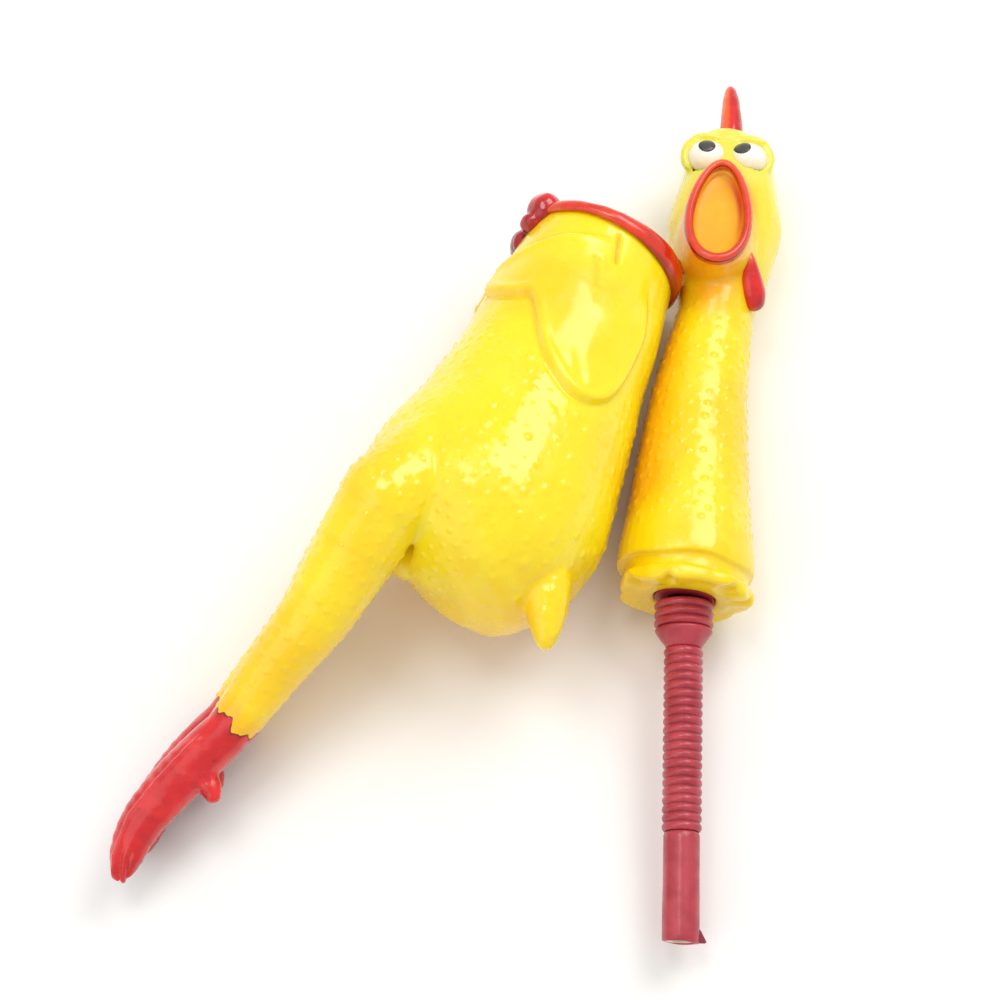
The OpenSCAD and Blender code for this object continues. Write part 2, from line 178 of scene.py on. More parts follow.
def chain(keys, steps=8, rows=12, sides=20):
    """Balls strung along keys of (x, y, z, radius)."""
    keys = np.array(keys, float)
    out = []
    for a, b in zip(keys[:-1], keys[1:]):
        for t in np.linspace(0, 1, steps, endpoint=False):
            k = a + (b - a) * t
            out.append(ball(k[:3], k[3], rows, sides))
    out.append(ball(keys[-1][:3], keys[-1][3], rows, sides))
    return join(*out)


def join(*parts):
    verts, faces, n = [], [], 0
    for v, f in parts:
        verts.append(np.asarray(v, float))
        faces += [tuple(i + n for i in q) for q in f]
        n += len(v)
    return np.concatenate(verts), faces


class Skin:
    """A welded skin over closed solids, kept as arrays so that it can be sculpted."""

    def __init__(self, verts, faces, voxel):
        o = object_from("tmp", verts, faces)
        m = o.modifiers.new("weld", "REMESH")
        m.mode = "VOXEL"
        m.voxel_size = voxel * MM
        m.adaptivity = 0
        me = bpy.data.meshes.new_from_object(o.evaluated_get(bpy.context.evaluated_depsgraph_get()))
        self.v = points_of(me)
        self.f = np.array([p.vertices[:] for p in me.polygons])
        e = np.empty(len(me.edges) * 2, int)
        me.edges.foreach_get("vertices", e)
        self.e = e.reshape(-1, 2)
        self.count = np.bincount(self.e.ravel(), minlength=len(self.v))[:, None]
        bpy.data.objects.remove(o)
        bpy.data.meshes.remove(me)

    def relax(self, times, rate=0.5, where=None):
        w = rate if where is None else rate * where[:, None]
        for _ in range(times):
            s = np.zeros_like(self.v)
            for k in range(3):
                s[:, k] = np.bincount(self.e[:, 0], self.v[self.e[:, 1], k], len(self.v))
                s[:, k] += np.bincount(self.e[:, 1], self.v[self.e[:, 0], k], len(self.v))
            self.v += w * (s / np.maximum(self.count, 1) - self.v)
        return self

    def normals(self):
        a, b, c, d = (self.v[self.f[:, i]] for i in range(4))
        fn = np.cross(c - a, d - b)
        n = np.zeros_like(self.v)
        for i in range(4):
            for k in range(3):
                n[:, k] += np.bincount(self.f[:, i], fn[:, k], len(self.v))
        return n / np.maximum(np.linalg.norm(n, axis=1), 1e-9)[:, None]

    def push(self, height):
        self.v += self.normals() * np.asarray(height)[:, None]
        return self

    def make(self, name, pick=None, normals=None, **marks):
        """The object, or the part of it whose faces are picked."""
        f = self.f if pick is None else self.f[pick]
        used = np.unique(f)
        new = np.full(len(self.v), -1)
        new[used] = np.arange(len(used))
        o = object_from(name, self.v[used], new[f])
        for key, values in marks.items():
            a = o.data.attributes.new(key, "FLOAT", "POINT")
            a.data.foreach_set("value", np.asarray(values)[used].astype(np.float32))
        if normals is not None:
            o.data.normals_split_custom_set_from_vertices(normals[used].tolist())
        return o


def pimples(skin, where, radius, height, gap, seed):
    """Small round domes, scattered where the weight is more than nothing."""
    rng = np.random.default_rng(seed)
    spots = np.nonzero(where > 0.02)[0]
    rng.shuffle(spots)
    taken, centres = {}, []
    for i in spots[:60000]:
        p = skin.v[i]
        key = tuple((p // gap).astype(int))
        near = [q for dx in (-1, 0, 1) for dy in (-1, 0, 1) for dz in (-1, 0, 1)
                for q in taken.get((key[0] + dx, key[1] + dy, key[2] + dz), ())]
        if all((p[0] - q[0]) ** 2 + (p[1] - q[1]) ** 2 + (p[2] - q[2]) ** 2 > gap * gap for q in near):
            taken.setdefault(key, []).append(p)
            centres.append((p, 0.6 + 0.4 * rng.random()))
    tree = KDTree(len(centres))
    for i, (p, _) in enumerate(centres):
        tree.insert(Vector(p), i)
    tree.balance()
    out = np.zeros(len(skin.v))
    for i in np.nonzero(where > 0.02)[0]:
        _, j, d = tree.find(Vector(skin.v[i]))
        r = radius * centres[j][1]
        if d < r:
            out[i] = height * (1 - (d / r) ** 2) * where[i]
    return out


def ripple(p, size, seed=0.0):
    """Soft noise between -1 and 1 at millimetre points."""
    return np.array([noise.noise(Vector((q[0] / size + seed, q[1] / size, q[2] / size))) for q in p])


def to_outline(p, outline):
    """Signed distance of flat points to a closed outline, below zero inside."""
    a = np.array(outline, float)
    b = np.roll(a, -1, 0)
    best = np.full(len(p), 1e9)
    inside = np.zeros(len(p), bool)
    for (x0, y0), (x1, y1) in zip(a, b):
        d = np.array([x1 - x0, y1 - y0])
        t = np.clip(((p[:, 0] - x0) * d[0] + (p[:, 1] - y0) * d[1]) / max(d @ d, 1e-9), 0, 1)
        best = np.minimum(best, np.hypot(p[:, 0] - x0 - t * d[0], p[:, 1] - y0 - t * d[1]))
        cross = (y0 > p[:, 1]) != (y1 > p[:, 1])
        x = x0 + (p[:, 1] - y0) * (x1 - x0) / (y1 - y0 if y1 != y0 else 1e-9)
        inside ^= cross & (p[:, 0] < x)
    return np.where(inside, -best, best)


def to_path(p, path):
    """Distance of points to a path in space, and how far along it they lie."""
    path = np.array(path, float)
    best = np.full(len(p), 1e9)
    along = np.zeros(len(p))
    run = 0.0
    for a, b in zip(path[:-1], path[1:]):
        d = b - a
        n = np.linalg.norm(d)
        t = ((p - a) @ d) / (n * n)
        t = np.clip(t, 0, 1)
        dist = np.linalg.norm(p - a - t[:, None] * d, axis=1)
        better = dist < best
        best[better] = dist[better]
        along[better] = run + t[better] * n
        run += n
    return best, along


def smooth_loop(keys, steps=6):
    k = np.array(keys, float)
    n = len(k)
    out = []
    for i in range(n):
        a, b, c, d = k[i - 1], k[i], k[(i + 1) % n], k[(i + 2) % n]
        for t in np.arange(steps) / steps:
            out.append(b + 0.5 * t * (c - a + t * (2 * a - 5 * b + 4 * c - d + t * (3 * (b - c) + d - a))))
    return np.array(out)


# ---- materials ----


def lin(r, g, b):
    """An sRGB colour of 0 to 255, as the linear one that nodes take."""
    return tuple(((c / 255 + 0.055) / 1.055) ** 2.4 if c > 10 else c / 255 / 12.92
                 for c in (r, g, b)) + (1,)


class Look:
    """A node material built up step by step."""

    def __init__(self, name, rough, coat=0.0, glow=0.0, glow_size=(6, 3, 0.6), specular=0.5):
        self.m = bpy.data.materials.new(name)
        self.m.use_nodes = True
        self.t = self.m.node_tree
        self.bsdf = self.t.nodes["Principled BSDF"]
        self.bsdf.inputs["Roughness"].default_value = rough
        self.bsdf.inputs["Coat Weight"].default_value = coat
        self.bsdf.inputs["Coat Roughness"].default_value = 0.12
        self.bsdf.inputs["Specular IOR Level"].default_value = specular
        self.bsdf.inputs["Subsurface Weight"].default_value = glow
        self.bsdf.inputs["Subsurface Radius"].default_value = [g * MM for g in glow_size]
        self.bsdf.inputs["Subsurface Scale"].default_value = 1.0
        self.at = self.node("ShaderNodeTexCoord").outputs["Object"]

    def node(self, kind, **inputs):
        n = self.t.nodes.new(kind)
        for k, v in inputs.items():
            n.inputs[k.replace("_", " ")].default_value = v
        return n

    def link(self, a, b):
        self.t.links.new(a, b)

    def noise(self, size, detail=3.0, rough=0.5):
        n = self.node("ShaderNodeTexNoise", Scale=1 / (size * MM), Detail=detail, Roughness=rough)
        self.link(self.at, n.inputs["Vector"])
        return n.outputs["Fac"]

    def mark(self, name):
        n = self.node("ShaderNodeAttribute")
        n.attribute_name = name
        return n.outputs["Fac"]

    def step(self, value, low, high, to_low=0.0, to_high=1.0):
        n = self.node("ShaderNodeMapRange")
        n.interpolation_type = "SMOOTHSTEP"
        for k, v in zip(("From Min", "From Max", "To Min", "To Max"), (low, high, to_low, to_high)):
            n.inputs[k].default_value = v
        self.link(value, n.inputs["Value"])
        return n.outputs["Result"]

    def times(self, a, b):
        n = self.node("ShaderNodeMath")
        n.operation = "MULTIPLY"
        self.link(a, n.inputs[0])
        if isinstance(b, (int, float)):
            n.inputs[1].default_value = b
        else:
            self.link(b, n.inputs[1])
        return n.outputs[0]

    def plus(self, a, b):
        n = self.node("ShaderNodeMath")
        self.link(a, n.inputs[0])
        self.link(b, n.inputs[1])
        return n.outputs[0]

    def mix(self, fac, a, b):
        n = self.node("ShaderNodeMix")
        n.data_type = "RGBA"
        self.link(fac, n.inputs["Factor"])
        for v, s in ((a, n.inputs[6]), (b, n.inputs[7])):
            if isinstance(v, tuple):
                s.default_value = v
            else:
                self.link(v, s)
        return n.outputs[2]

    def colour(self, c):
        self.link(c, self.bsdf.inputs["Base Color"])
        return self

    def gloss(self, low, high, size):
        self.link(self.step(self.noise(size), 0.3, 0.7, low, high), self.bsdf.inputs["Roughness"])
        return self

    def bump(self, strength, *layers):
        """Layers of (height output, millimetres)."""
        total = None
        for value, height in layers:
            h = self.times(value, height * MM)
            total = h if total is None else self.plus(total, h)
        n = self.node("ShaderNodeBump", Strength=strength, Distance=1.0)
        self.link(total, n.inputs["Height"])
        self.link(n.outputs["Normal"], self.bsdf.inputs["Normal"])
        return self


YELLOW, DEEP, PALE = lin(254, 226, 14), lin(254, 208, 4), lin(248, 234, 60)
RED, DARK_RED, ORANGE = lin(208, 10, 16), lin(112, 4, 16), lin(250, 120, 20)


def vinyl(name, painted=False):
    """Soft yellow vinyl. Its paint mark is a distance in millimetres, below zero where painted red."""
    k = Look(name, 0.24, coat=0.35, glow=0.25)
    c = k.mix(k.step(k.noise(38), 0.35, 0.68), YELLOW, DEEP)
    c = k.mix(k.times(k.step(k.noise(9), 0.5, 0.75), 0.35), c, PALE)
    # the warm mark tints towards orange: partly painted shade, partly the real fade of the red paint
    c = k.mix(k.mark("warm"), c, ORANGE)
    if painted:
        edge = k.plus(k.mark("paint"), k.times(k.noise(1.1), 0.9))
        c = k.mix(k.step(edge, 0.5, 0.75, 1, 0), c, k.mix(k.step(edge, -0.5, 0.55), RED, DARK_RED))
    k.colour(c).gloss(0.16, 0.34, 14)
    return k.bump(0.5, (k.noise(1.4, 2), 0.06), (k.noise(0.35, 2), 0.012)).m


def red_paint(name, base=RED, dark=DARK_RED, bright=lin(226, 34, 32)):
    """Glossy red paint over vinyl, thinner and brighter in places, with painted shade in the grooves and folds; on
    the feet its dark mark also holds the real dark paint edge.
    """
    k = Look(name, 0.2, coat=0.5, glow=0.12, glow_size=(3, 0.6, 0.3))
    c = k.mix(k.step(k.noise(7), 0.4, 0.7), base, bright)
    c = k.mix(k.times(k.step(k.noise(2.2, 4), 0.6, 0.8), 0.5), c, dark)
    # the dark mark is mostly painted shade; on the feet it also holds the real paint edge and patches
    c = k.mix(k.mark("dark"), c, dark)
    c = k.mix(k.mark("warm"), c, ORANGE)
    k.colour(c).gloss(0.12, 0.3, 5)
    return k.bump(0.6, (k.noise(1.8, 3), 0.09), (k.noise(0.5, 2), 0.02)).m


def plain(name, base, other, rough, size, bump, coat=0.0, glow=0.0, dark=None):
    """A moulded surface in two close tones, with an even grain."""
    k = Look(name, rough, coat=coat, glow=glow, glow_size=(3, 1.5, 1))
    c = k.mix(k.step(k.noise(size), 0.35, 0.65), base, other)
    if dark:
        c = k.mix(k.mark("dark"), c, dark)
    k.colour(c).gloss(rough - 0.05, rough + 0.1, size)
    return k.bump(0.5, (k.noise(size / 4, 3), bump), (k.noise(0.3, 2), bump / 4)).m


def dress(o, material):
    """Gives an object one material."""
    o.data.materials.clear()
    o.data.materials.append(material)


skin_look = vinyl("vinyl")
leg_look = vinyl("vinyl_with_paint", painted=True)
red_look = red_paint("red_paint")
# its dark tone is painted shade in the bellows' valleys, and also darkens the sleeve's tab
tube_look = plain("tube_plastic", lin(186, 62, 74), lin(168, 44, 58), 0.32, 6, 0.03, coat=0.15, glow=0.05,
                  dark=lin(120, 22, 34))


# ---- body, legs and feet: one skin, cut where the paint and the joints are ----

left_hip = np.array(joints["left_leg_flex"]["pos_m"]) / MM
right_hip = np.array(joints["right_leg_flex"]["pos_m"]) / MM
LEGS = {
    "left": [left_hip, *TABLE.out([[-25.5, -140, 44.5], [-32.5, -162, 33], [-37, -180, 27]])],
    "right": [right_hip, *TABLE.out([[-32, -135, 18], [-38, -155, 12.5], [-42.5, -173, 8.5]])],
}
FEET = {
    "left": TABLE.out([[-37, -180, 27], [-42, -191, 24.5], [-46.4, -203, 22], [-49.2, -213, 19.5],
                       [-49, -223, 17], [-47, -229, 16]]),
    "right": TABLE.out([[-42.5, -173, 8.5], [-46.5, -184, 8], [-49.5, -196, 7.4], [-51, -207, 6.6],
                        [-50, -214, 6], [-48.5, -219, 5.8]]),
}
WING = smooth_loop([[0, -9], [-14, -14], [-25, -24], [-27.5, -31], [-25, -36], [-19, -38], [-14, -37.5],
                    [-9, -47], [-4, -55], [2.5, -60.5], [8, -63], [13.5, -62], [18, -57], [19.6, -49],
                    [20, -41], [19.5, -32], [17, -22], [11, -12]], 4)
FORK = 17  # millimetres past the hip where a leg becomes its own piece


def knee_fill(side):
    """Fills the running gap round the top of a leg, so that thigh and leg are one skin."""
    a, b = LEGS[side][0], LEGS[side][1]
    return chain([[*a, 12.9], [*(a + (b - a) * 0.45), 12.2], [*(a + (b - a) * 0.95), 10.6]], 6)


def sculpt_body():
    """Body, legs and feet as one welded skin, smoothed over the hips."""
    # the fold between thigh and belly is closed, as it is in the moulding
    groin, groin_faces = chain([[-12.8, -111.8, -1.5, 6.5], [-11.3, -116.8, -2.5, 6.5]], 6)
    v, f = join(cad("body_shell", "left_leg", "right_leg", "left_foot", "right_foot"),
                knee_fill("left"), knee_fill("right"), (BODY.out(groin), groin_faces))
    s = Skin(v, f, BODY_GRAIN)
    crease = np.zeros(len(s.v))
    for side in ("left", "right"):
        d, along = to_path(s.v, LEGS[side])
        crease = np.maximum(crease, smoothstep(22, 14, d) * smoothstep(46, 26, along))
    s.relax(3)
    s.relax(26, where=crease)
    return s


def over_skin(p, n):
    """1 on the outside of the body, 0 inside its cavity."""
    radial = np.stack([p[:, 0], np.zeros(len(p)), p[:, 2]], 1)
    radial /= np.maximum(np.linalg.norm(radial, axis=1), 1e-6)[:, None]
    inside = (np.einsum("ij,ij->i", radial, n) < 0) & (np.hypot(p[:, 0] / 36, p[:, 2] / 31) < 0.97)
    return np.where(inside & (p[:, 1] > -121), 0.0, 1.0)


def add_wings(s, p, outer):
    """Raises the wings on both sides and returns the distance to their outline."""
    flat = to_outline(p[:, :2], WING)
    fade = 1 - smoothstep(-36, -14, p[:, 1]) * smoothstep(-12, 4, p[:, 0])
    fade *= smoothstep(-6, -14, p[:, 1])
    ledge = 1.8 * smoothstep(0.45, -0.45, flat) + 0.5 * np.exp(-((flat + 1.7) / 1.1) ** 2)
    groove = -0.35 * np.exp(-((flat - 1.0) / 0.8) ** 2)
    side = np.abs(p[:, 2]) > 6
    feather = 0.25 * np.sin(p[:, 0] * 0.9 + p[:, 1] * 0.25)
    feather = feather * smoothstep(-2, -6, flat) * smoothstep(-48, -60, p[:, 1])
    s.push((ledge + groove + feather) * fade * outer * side)
    return flat


def body_pieces():
    """Sculpts the welded skin, then cuts it into the body, the legs and the painted feet."""
    s = sculpt_body()
    p, n = BODY.into(s.v), BODY.way(s.normals())
    outer = over_skin(p, n)
    s.relax(2)
    flat = add_wings(s, p, outer)
    s.relax(1)
    legs = {k: to_path(s.v, path) for k, path in LEGS.items()}
    feet = {k: to_path(s.v, path) for k, path in FEET.items()}
    reach = {k: np.minimum(legs[k][0], feet[k][0]) for k in LEGS}
    bias = 2 * smoothstep(60, 40, legs["left"][1])
    side = np.where(reach["left"] - bias < reach["right"], "left", "right")
    near_leg = np.minimum(legs["left"][0], legs["right"][0])
    foot_d = {k: feet[k][0] for k in feet}
    along = np.where(side == "left", legs["left"][1], legs["right"][1])
    # distance to the ragged edge of the foot's paint
    paint = np.full(len(s.v), 50.0)
    for k in ("left", "right"):
        path = LEGS[k]
        d = (path[-1] - path[-2]) / np.linalg.norm(path[-1] - path[-2])
        u = np.cross(d, [0, 0, 1])
        u /= np.linalg.norm(u)
        w = np.cross(u, d)
        q = s.v - path[-1]
        a = np.arctan2(q @ w, q @ u)
        rag = 1.5 * np.sin(3 * a + 1) + 0.8 * np.sin(7 * a) + 0.5 * np.sin(13 * a + 2)
        own = (side == k) & (np.minimum(foot_d[k], legs[k][0]) < 15)
        paint = np.where(own, -(q @ d) - 2.5 + rag, paint)
    foot = paint < 0
    low = smoothstep(-38, -58, p[:, 1])
    calm = outer * low * smoothstep(0.5, 2.5, flat) * (paint > 1.5)
    belly = smoothstep(22, 40, near_leg) * smoothstep(-58, -72, p[:, 1])
    small = calm * (1 - 0.65 * belly)
    h = pimples(s, small, 1.15, 0.34, 3.5, 11)
    h = np.maximum(h, pimples(s, calm * belly, 1.75, 0.36, 6.3, 12))
    hem = outer * smoothstep(-14, -30, p[:, 1]) * (1 - low) * smoothstep(2, 4, flat)
    h = np.maximum(h, pimples(s, hem, 0.9, 0.18, 4.2, 13))
    lump = 0.35 * ripple(s.v, 17) + 0.14 * ripple(s.v, 6, 3.0)
    # two moulding dents behind the collar
    dents = np.zeros(len(s.v))
    for x0, y0, x1, y1, deep in ((0.6, -7, 3.1, -15.7, 0.9), (-2.6, -17.8, 1.0, -27, 0.6)):
        a, b = np.array([x0, y0]), np.array([x1, y1])
        t = np.clip(((p[:, :2] - a) @ (b - a)) / ((b - a) @ (b - a)), 0, 1)
        d = np.linalg.norm(p[:, :2] - a - t[:, None] * (b - a), axis=1)
        dents += -deep * np.exp(-((d / 0.8) ** 2)) * (p[:, 2] > 5)
    s.push((h + lump * (~foot) + dents) * outer)
    sculpt_feet(s, feet, paint, side)
    # warm: painted orange shade in the two dents and on skin that faces down, and the real orange fade of the foot
    # paint near its edge
    warm = 0.5 * smoothstep(0.45, 0.9, -dents)
    warm = np.maximum(warm, 0.30 * smoothstep(0.2, -0.9, n[:, 2]))
    warm = np.maximum(warm, 0.28 * smoothstep(7, 1.5, paint))
    nrm = s.normals()
    wn = nrm / np.linalg.norm(nrm, axis=1)[:, None]
    face = s.f[:, 0]
    is_leg = (along[face] > FORK) & (near_leg[face] < 17) & (p[face, 1] < -112)
    is_leg |= foot[face] | (p[face, 1] < -150)
    is_foot = foot[face]
    dark = np.clip(smoothstep(0.25, 0.0, np.abs(paint + 0.2)) * 0.8, 0, 1)
    made = {"body_skin": s.make("body_skin", ~is_leg, wn, warm=warm, paint=paint)}
    for k in ("left", "right"):
        mine = side[face] == k
        leg, painted = k + "_leg_skin", k + "_foot_skin"
        made[leg] = s.make(leg, is_leg & mine & ~is_foot, wn, warm=warm, paint=paint)
        made[painted] = s.make(painted, is_leg & mine & is_foot, wn, warm=warm * 0,
                               dark=foot_dark(s, dark))
    return made


def sculpt_feet(s, feet, paint, side):
    """Toe grooves, a seam ridge and wrinkles on the painted feet."""
    h = np.zeros(len(s.v))
    for k in ("left", "right"):
        along = feet[k][1]
        mine = (side == k) & (paint < 0)
        # offset sideways from the foot's own middle line
        off = signed_side(s.v, FEET[k])
        seam = np.exp(-(((off - 2.6) / 0.55) ** 2)) * smoothstep(4, 9, along)
        toes = sum(np.exp(-(((off - o) / 0.6) ** 2)) for o in (-1.6, 0.9)) * smoothstep(40, 46, along)
        curl = 0.28 * np.sin(along * 1.7 + 0.8 * np.sin(off * 1.3))
        curl = curl * smoothstep(8, 16, along) * smoothstep(1.0, 4.0, np.abs(off))
        h += mine * (0.6 * seam - 0.9 * toes + 0.3 * curl + 0.1 * ripple(s.v, 3.2, 7.0))
    s.push(h)


def signed_side(v, path):
    """How far points lie to the left of a path seen from above."""
    best = np.full(len(v), 1e9)
    out = np.zeros(len(v))
    for a, b in zip(path[:-1], path[1:]):
        d = b[:2] - a[:2]
        n = np.linalg.norm(d)
        t = np.clip(((v[:, :2] - a[:2]) @ d) / (n * n), 0, 1)
        r = v[:, :2] - a[:2] - t[:, None] * d
        dist = np.linalg.norm(r, axis=1)
        better = dist < best
        best[better] = dist[better]
        out[better] = ((v[:, 0] - a[0]) * -d[1] + (v[:, 1] - a[1]) * d[0])[better] / n
    return -out


def foot_dark(s, edge):
    """Where the red turns dark: painted shade on the underside, and the real dark line along the paint's edge and
    soft patches.
    """
    n = s.normals()
    # painted shade on faces that turn down
    low = smoothstep(0.25, -0.35, n[:, 2])
    return np.clip(0.8 * low + edge + 0.15 * smoothstep(0.1, 0.5, ripple(s.v, 4, 2.0)), 0, 1)


made = body_pieces()
for name, o in made.items():
    dress(o, red_look if "foot" in name else leg_look if "leg" in name else skin_look)
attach(made["body_skin"], "body")
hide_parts("body_shell", "left_wing", "right_wing")
for k in ("left", "right"):
    leg, foot = made[k + "_leg_skin"], made[k + "_foot_skin"]
    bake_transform(leg)
    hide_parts(k + "_leg")
    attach(foot, k + "_leg")
    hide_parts(k + "_foot")


# ---- collar and bow ----


def collar_piece():
    s = Skin(*cad("collar_band"), BAND_GRAIN)
    s.relax(3)
    p = BODY.into(s.v)
    a = np.degrees(np.arctan2(p[:, 2], p[:, 0]))
    # wider and thicker towards the chicken's back, thin beside the bow
    wide = 0.75 + 0.65 * smoothstep(120, 20, np.abs(a))
    p[:, 1] = (p[:, 1] + 1.0) * wide - 1.0
    s.v = BODY.out(p)
    s.push(0.22 * ripple(s.v, 4.5, 5.0) + 0.3 * smoothstep(100, 30, np.abs(a)))
    warm = 0.12 + 0.25 * smoothstep(70, 140, np.abs(a)) * smoothstep(0.3, 0.6, ripple(s.v, 6) + 0.5)
    # painted shade along the collar's edge on the body's side, where it meets the skin
    dark = smoothstep(-4.2, -5.2, p[:, 1]) * 0.7
    return s.make("collar", warm=warm, dark=dark)


collar = collar_piece()
dress(collar, red_look)
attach(collar, "body")
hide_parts("collar_band")


def bow_piece():
    c = np.array([-23.9, -3.6, -2.0])
    parts = [
        ball(c + [1.8, 2.4, 7.6], (5.2, 5.8, 6.0)),
        ball(c + [0.9, 2.9, 9.8], (3.4, 4.2, 3.9)),
        ball(c + [-0.4, -3.4, 7.2], (3.0, 2.6, 3.8)),
        ball(c + [0.2, 0.4, 1.2], (3.4, 3.6, 3.1)),
        ball(c + [0.6, -2.4, -6.6], (3.9, 4.4, 5.0)),
        ball(c + [0.9, -3.2, -9.0], (3.2, 3.7, 3.6)),
        ball(c + [-0.2, -6.3, 1.0], (2.6, 4.2, 3.0)),
        ball(c + [1.2, -8.0, 3.0], (2.2, 3.0, 2.4)),
    ]
    v, f = join(*parts)
    s = Skin(BODY.out(v), f, BAND_GRAIN)
    s.relax(6)
    p = BODY.into(s.v)
    # crossing folds of the tie
    fold = np.exp(-(((p[:, 2] + 1.6) / 0.7) ** 2)) + 0.8 * np.exp(-(((p[:, 2] - 3.2) / 0.7) ** 2))
    s.push(-0.7 * fold + 0.4 * ripple(s.v, 3.6, 9.0))
    s.relax(1)
    warm = 0.6 * smoothstep(1.0, 3.0, p[:, 0] + 22.5) * smoothstep(-2, -6, p[:, 1])
    # dark: painted shade in the folds, towards the body and on the lower lobe
    dark = np.clip(0.8 * fold + 0.55 * smoothstep(2, -4, p[:, 1]) + 0.5 * smoothstep(-1, -9, p[:, 2]), 0, 1)
    warm *= 1 - dark * 0.5
    return s.make("bow", warm=warm, dark=dark)


bow = bow_piece()
dress(bow, red_look)
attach(bow, "body")
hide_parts("bow_knot", "bow_left_lobe", "bow_right_lobe")


# ---- neck and head, in the neck's own frame ----

EYE_R = (5.9, 5.3, 4.4)
EYES = {"left": (5.9, 141.3, 6.6), "right": (-6.4, 140.7, 6.6)}
BEAK = np.array([-1.6, 116.6, 20.0])
BEAK_H, BEAK_W = 17.6, 9.2


def tilt(p):
    """Leans the beak back at the brow, as the open mouth does."""
    p = np.array(p, float)
    w = smoothstep(6, 16, p[:, 2])
    up = p[:, 1] - BEAK[1]
    p[:, 2] -= 0.16 * up * w * (np.abs(up) < 30)
    return p


def egg(a, h, w):
    return np.array([w * np.cos(a) * (1 - 0.17 * np.sin(a)), h * np.sin(a)])


def brow(side):
    x, y, z = EYES[side]
    out = 1 if side == "left" else -1
    pts = []
    for t in np.linspace(-35, 158, 18):
        c, q = math.cos(math.radians(t)), math.sin(math.radians(t))
        pts.append([x + out * 6.5 * c, y + 5.5 * q, z - 0.6 + 0.9 * q, 1.75 + 0.85 * max(q, 0)])
    return chain(pts, 2, 8, 12)


def neck_piece():
    """Neck, head and plug as one skin, with brows, goosebumps and the plug's ragged lip."""
    v, f = cad("neck_shell", "plug_rim")
    crown = ball([-0.4, 146.5, 2.5], (9.5, 6.5, 6.5))
    v, f = join((NECK.into(v), f), brow("left"), brow("right"), crown)
    s = Skin(tilt(v), f, HEAD_GRAIN)
    p = s.v
    chin = smoothstep(20, 12, np.hypot(p[:, 0] + 1, (p[:, 1] - 100) * 0.8)) * (p[:, 2] > 0)
    s.relax(3)
    s.relax(14, where=chin)
    n = s.normals()
    axis_x, axis_z = -0.8, -1.5
    radial = np.stack([s.v[:, 0] - axis_x, np.zeros(len(s.v)), s.v[:, 2] - axis_z], 1)
    radial /= np.maximum(np.linalg.norm(radial, axis=1), 1e-6)[:, None]
    outer = np.where(np.einsum("ij,ij->i", radial, n) > -0.2, 1.0, 0.0)
    y = s.v[:, 1]
    belt = smoothstep(15, 20, y) * smoothstep(100, 84, y)
    h = pimples(s, belt * outer, 1.15, 0.34, 3.4, 21)
    h += (0.3 * ripple(s.v, 14, 2.0) + 0.12 * ripple(s.v, 5, 4.0)) * smoothstep(9, 16, y)
    ang = np.arctan2(s.v[:, 2], s.v[:, 0])
    r = np.hypot(s.v[:, 0], s.v[:, 2])
    lip = smoothstep(5.5, 3.5, y) * smoothstep(14, 16.5, r)
    rag = 0.5 * np.sin(3 * ang + 0.6) + 0.45 * np.sin(7 * ang + 2) + 0.25 * np.sin(15 * ang)
    s.push(h * outer)
    s.v[:, 0] += np.cos(ang) * lip * rag * 0.9
    s.v[:, 2] += np.sin(ang) * lip * rag * 0.5
    notches = ((2.6, 0.12), (1.9, 0.1), (0.75, 0.14), (0.2, 0.08))
    notch = sum(np.exp(-((np.angle(np.exp(1j * (ang - a))) / w) ** 2)) for a, w in notches)
    s.v[:, 1] += (1.7 * notch - 0.5 * np.sin(4 * ang)) * smoothstep(3.5, 1.0, y) * smoothstep(12, 15, r)
    # ring of shoulder flash above the groove
    s.v[:, 1] += 0.4 * np.sin(5 * ang + 1) * np.exp(-(((y - 8) / 1.2) ** 2)) * smoothstep(16, 18, r)
    around = np.hypot((s.v[:, 0] - BEAK[0]) / 1.0, (s.v[:, 1] - BEAK[1]) / 1.9)
    warm = 0.62 * smoothstep(13.5, 9.5, around) * smoothstep(6, 13, s.v[:, 2]) * smoothstep(150, 118, y)
    # painted orange glow under the chin, above the collar
    under_beak = smoothstep(16, 4, np.hypot(s.v[:, 0] + 2, s.v[:, 1] - 97))
    chin_glow = 0.45 * under_beak * smoothstep(4, 12, s.v[:, 2])
    # side: painted orange reflection of the body on the neck's flank that faces it
    side = 0.42 * smoothstep(-3, -14, s.v[:, 0]) * smoothstep(108, 80, y) * smoothstep(16, 30, y)
    warm = np.clip(np.maximum(np.maximum(warm, chin_glow), side), 0, 0.8)
    pale = np.maximum(smoothstep(124, 134, y), 0.6 * smoothstep(5, 12, s.v[:, 0]) * smoothstep(88, 100, y))
    s.v = NECK.out(s.v)
    return s.make("neck_skin", warm=warm, pale=pale)


def head_vinyl():
    k = Look("vinyl_head", 0.26, coat=0.3, glow=0.25)
    c = k.mix(k.step(k.noise(38), 0.35, 0.68), YELLOW, DEEP)
    c = k.mix(k.times(k.step(k.noise(9), 0.5, 0.75), 0.35), c, PALE)
    c = k.mix(k.times(k.mark("pale"), 0.8), c, lin(230, 226, 88))
    # the warm mark tints towards orange: the real paint fade round the beak, and painted glow and reflected light
    # on the chin and neck
    c = k.mix(k.mark("warm"), c, ORANGE)
    k.colour(c).gloss(0.18, 0.36, 12)
    return k.bump(0.5, (k.noise(1.4, 2), 0.06), (k.noise(0.35, 2), 0.012)).m


neck = neck_piece()
dress(neck, head_vinyl())
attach(neck, "neck")
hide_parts("neck_shell", "plug_rim")


def grid_faces(rows, sides):
    """Faces between rings of points, each ring closed on itself."""
    f = []
    for i in range(rows - 1):
        for j in range(sides):
            k = (j + 1) % sides
            f.append((i * sides + j, i * sides + k, (i + 1) * sides + k, (i + 1) * sides + j))
    return f


